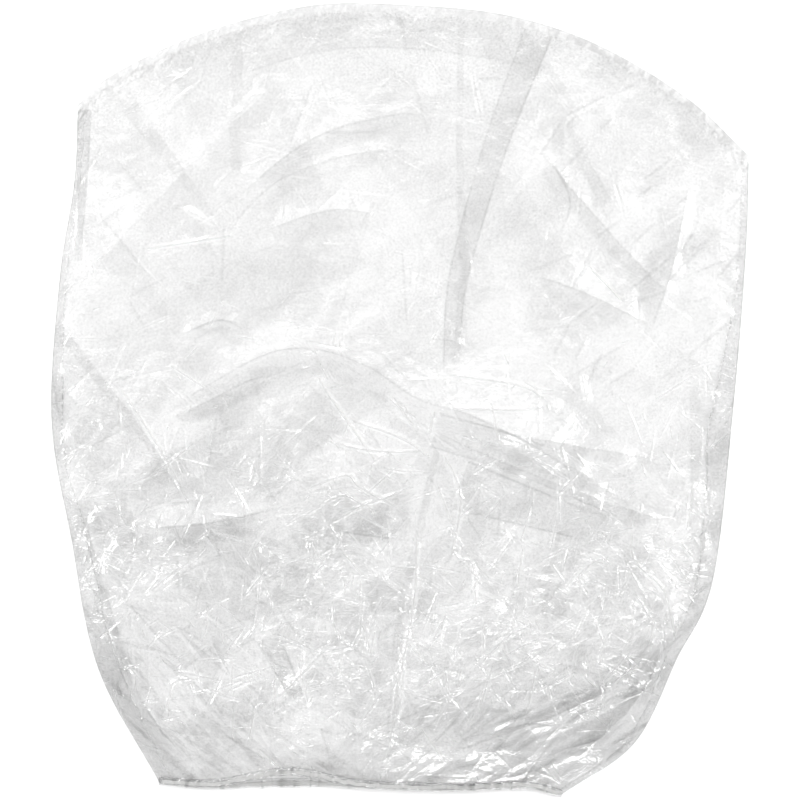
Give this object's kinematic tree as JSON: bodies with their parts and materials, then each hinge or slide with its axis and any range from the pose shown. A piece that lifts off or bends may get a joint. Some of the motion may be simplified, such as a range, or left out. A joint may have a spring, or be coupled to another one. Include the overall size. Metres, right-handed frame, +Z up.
{
  "type": "disposable film cover",
  "caption": "Clear disposable film cover with a heat-sealed arched end, side gussets and an elastic-gathered open mouth, lying flat.",
  "frame": {"origin": "centre of the cover's overall box, on the surface it lies on", "axes": "+Z up out of the front panel; +Y towards the heat-sealed arch, so the open mouth faces -Y; +X to the right seen from above"},
  "size_m": [0.7008, 0.7948, 0.0225],
  "materials": {
    "clear_film": "clear thin polyethylene film, glossy, faintly hazy, crumpled",
    "welded_film": "film layers fused by heat into a slightly cloudy band",
    "hem_film": "folded and gathered clear film, glossy",
    "elastic": "milky flat elastic, matt"
  },
  "bodies": {
    "root": {"back_film_panel": "clear_film", "front_film_panel": "clear_film", "left_side_gusset": "clear_film", "right_side_gusset": "clear_film", "arch_heat_seal": "welded_film", "front_hem_casing": "hem_film", "back_hem_casing": "hem_film", "front_hem_weld": "welded_film", "back_hem_weld": "welded_film", "elastic_band": "elastic", "elastic_lap_weld": "elastic"}
  },
  "joints": []
}
